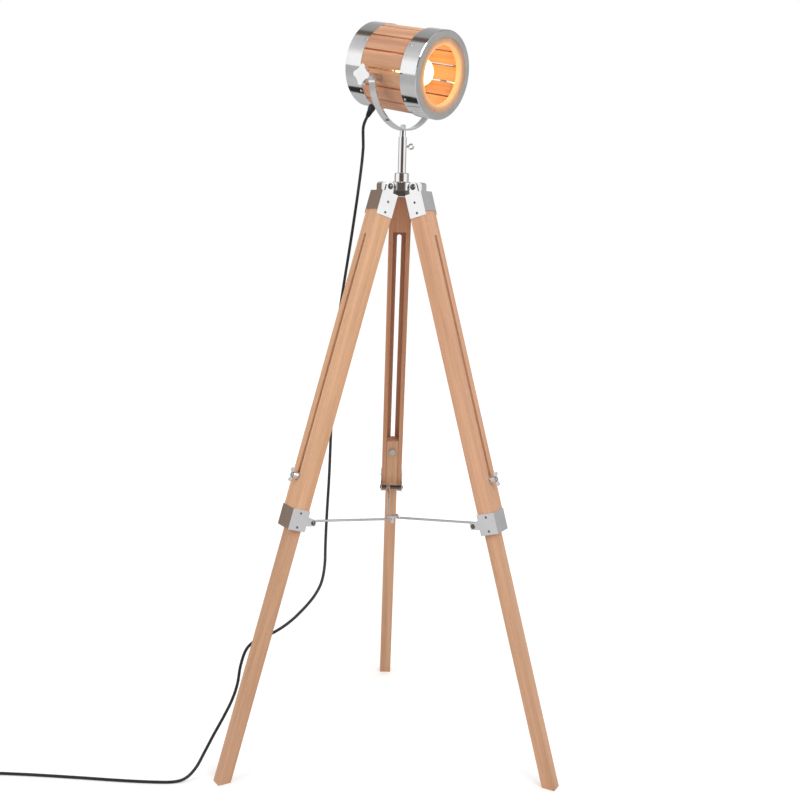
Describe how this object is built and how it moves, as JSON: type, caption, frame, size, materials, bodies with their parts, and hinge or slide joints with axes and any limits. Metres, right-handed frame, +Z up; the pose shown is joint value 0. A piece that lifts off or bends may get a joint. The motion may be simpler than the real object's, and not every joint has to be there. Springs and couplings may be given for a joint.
{
  "type": "tripod floor lamp",
  "caption": "Floor lamp with a spotlight head of wooden staves in a steel yoke, on telescopic wooden tripod legs that fold with a rod spreader.",
  "frame": {"origin": "on the floor, under the middle of the box round the lamp without its cord", "axes": "+Z up; the rear leg points along +Y; the lamp is seen from -Y in the picture"},
  "size_m": [1.3075, 0.6439, 1.4778],
  "materials": {
    "leg_wood": "satin lacquered beech",
    "head_wood": "satin lacquered beech",
    "chrome": "polished",
    "steel": "bright",
    "hub_metal": "polished casting",
    "porcelain": "glazed",
    "bulb_glass": "frosted",
    "black_plastic": "matte",
    "cord_rubber": "matte"
  },
  "bodies": {
    "base": {"hub": "hub_metal", "hub_nut": "steel", "collar": "chrome", "stem_tube": "steel", "cord": "cord_rubber", "cord_coil": "cord_rubber", "plug": "black_plastic", "coil_tie": "black_plastic"},
    "leg_left": {"upper_leg_left": "leg_wood", "top_cap_left": "chrome", "nails_left": "steel", "hub_bolt_left": "steel", "mid_bracket_left": "chrome", "spreader_pin_left": "steel"},
    "foot_left": {"lower_leg_left": "leg_wood", "wing_bolt_left": "steel"},
    "wing_left": {"wing_nut_left": "chrome"},
    "rod_left": {"spreader_rod_left": "steel"},
    "leg_right": {"upper_leg_right": "leg_wood", "top_cap_right": "chrome", "nails_right": "steel", "hub_bolt_right": "steel", "mid_bracket_right": "chrome", "spreader_pin_right": "steel"},
    "foot_right": {"lower_leg_right": "leg_wood", "wing_bolt_right": "steel"},
    "wing_right": {"wing_nut_right": "chrome"},
    "rod_right": {"spreader_rod_right": "steel"},
    "leg_rear": {"upper_leg_rear": "leg_wood", "top_cap_rear": "chrome", "nails_rear": "steel", "hub_bolt_rear": "steel", "mid_bracket_rear": "chrome", "spreader_pin_rear": "steel"},
    "foot_rear": {"lower_leg_rear": "leg_wood", "wing_bolt_rear": "steel"},
    "wing_rear": {"wing_nut_rear": "chrome"},
    "rod_rear": {"spreader_rod_rear": "steel"},
    "spreader_joint": {"spreader_centre": "chrome"},
    "thumbscrew": {"thumbscrew": "chrome"},
    "stem": {"stem_rod": "steel", "yoke_nut": "steel"},
    "yoke": {"yoke": "chrome", "cord_neck": "cord_rubber"},
    "head": {"tilt_pivot_left": "steel", "tilt_pivot_right": "steel", "staves": "head_wood", "front_hoop": "head_wood", "rear_hoop": "head_wood", "front_band": "chrome", "rear_band": "chrome", "back_plate": "chrome", "band_screws": "steel", "lampholder": "porcelain", "bulb_cap": "steel", "bulb_glass": "bulb_glass", "gland": "black_plastic"},
    "knob_left": {"tilt_knob_left": "chrome"},
    "knob_right": {"tilt_knob_right": "chrome"}
  },
  "joints": [
    {"name": "leg_fold_left", "type": "hinge", "parent": "base", "child": "leg_left", "pos_m": [-0.02771, -0.10975, 1.16], "axis": [0.5, -0.866, 0], "range_deg": [0, 13]},
    {"name": "leg_length_left", "type": "slide", "parent": "leg_left", "child": "foot_left", "axis": [0.2456, 0.1418, 0.959], "range_m": [0, 0.47]},
    {"name": "wing_turn_left", "type": "hinge", "parent": "foot_left", "child": "wing_left", "pos_m": [-0.18837, -0.20251, 0.5996], "axis": [-0.8305, -0.4795, 0.2836], "continuous": true},
    {"name": "rod_swing_left", "type": "hinge", "parent": "leg_left", "child": "rod_left", "pos_m": [-0.16432, -0.1967, 0.50708], "axis": [-0.5, 0.866, 0], "range_deg": [0, 93.6]},
    {"name": "leg_fold_right", "type": "hinge", "parent": "base", "child": "leg_right", "pos_m": [0.02771, -0.10975, 1.16], "axis": [0.5, 0.866, 0], "range_deg": [0, 13]},
    {"name": "leg_length_right", "type": "slide", "parent": "leg_right", "child": "foot_right", "axis": [-0.2456, 0.1418, 0.959], "range_m": [0, 0.47]},
    {"name": "wing_turn_right", "type": "hinge", "parent": "foot_right", "child": "wing_right", "pos_m": [0.18837, -0.20251, 0.5996], "axis": [0.8305, -0.4795, 0.2836], "continuous": true},
    {"name": "rod_swing_right", "type": "hinge", "parent": "leg_right", "child": "rod_right", "pos_m": [0.17132, -0.18458, 0.50708], "axis": [-0.5, -0.866, 0], "range_deg": [0, 93.6]},
    {"name": "leg_fold_rear", "type": "hinge", "parent": "base", "child": "leg_rear", "pos_m": [0, -0.06175, 1.16], "axis": [-1, 0, 0], "range_deg": [0, 13]},
    {"name": "leg_length_rear", "type": "slide", "parent": "leg_rear", "child": "foot_rear", "axis": [0, -0.2836, 0.959], "range_m": [0, 0.47]},
    {"name": "wing_turn_rear", "type": "hinge", "parent": "foot_rear", "child": "wing_rear", "pos_m": [0, 0.12377, 0.5996], "axis": [0, 0.959, 0.2836], "continuous": true},
    {"name": "rod_swing_rear", "type": "hinge", "parent": "leg_rear", "child": "rod_rear", "pos_m": [-0.007, 0.10003, 0.50708], "axis": [1, 0, 0], "range_deg": [0, 93.6]},
    {"name": "spreader_drop", "type": "slide", "parent": "base", "child": "spreader_joint", "axis": [0, 0, -1], "range_m": [0, 0.192]},
    {"name": "thumbscrew_turn", "type": "hinge", "parent": "base", "child": "thumbscrew", "pos_m": [0.012, -0.09375, 1.238], "axis": [1, 0, 0], "continuous": true},
    {"name": "stem_height", "type": "slide", "parent": "base", "child": "stem", "axis": [0, 0, 1], "range_m": [0, 0.06]},
    {"name": "head_pan", "type": "hinge", "parent": "stem", "child": "yoke", "pos_m": [0, -0.09375, 1.259], "axis": [0, 0, 1], "range_deg": [-150, 150]},
    {"name": "head_tilt", "type": "hinge", "parent": "yoke", "child": "head", "pos_m": [0, -0.09375, 1.359], "axis": [0.6361, 0.7716, 0], "range_deg": [-30, 25]},
    {"name": "knob_turn_left", "type": "hinge", "parent": "head", "child": "knob_left", "pos_m": [0.06997, -0.00887, 1.359], "axis": [0.6361, 0.7716, 0], "continuous": true},
    {"name": "knob_turn_right", "type": "hinge", "parent": "head", "child": "knob_right", "pos_m": [-0.06997, -0.17863, 1.359], "axis": [-0.6361, -0.7716, 0], "continuous": true}
  ],
  "couplings": [
    {"joint": "rod_swing_left", "follows": "leg_fold_left", "ratio": 7.1942},
    {"joint": "leg_fold_right", "follows": "leg_fold_left", "ratio": 1},
    {"joint": "rod_swing_right", "follows": "leg_fold_left", "ratio": 7.1942},
    {"joint": "leg_fold_rear", "follows": "leg_fold_left", "ratio": 1},
    {"joint": "rod_swing_rear", "follows": "leg_fold_left", "ratio": 7.1942},
    {"joint": "spreader_drop", "follows": "leg_fold_left", "m_per_rad": 0.8367}
  ]
}
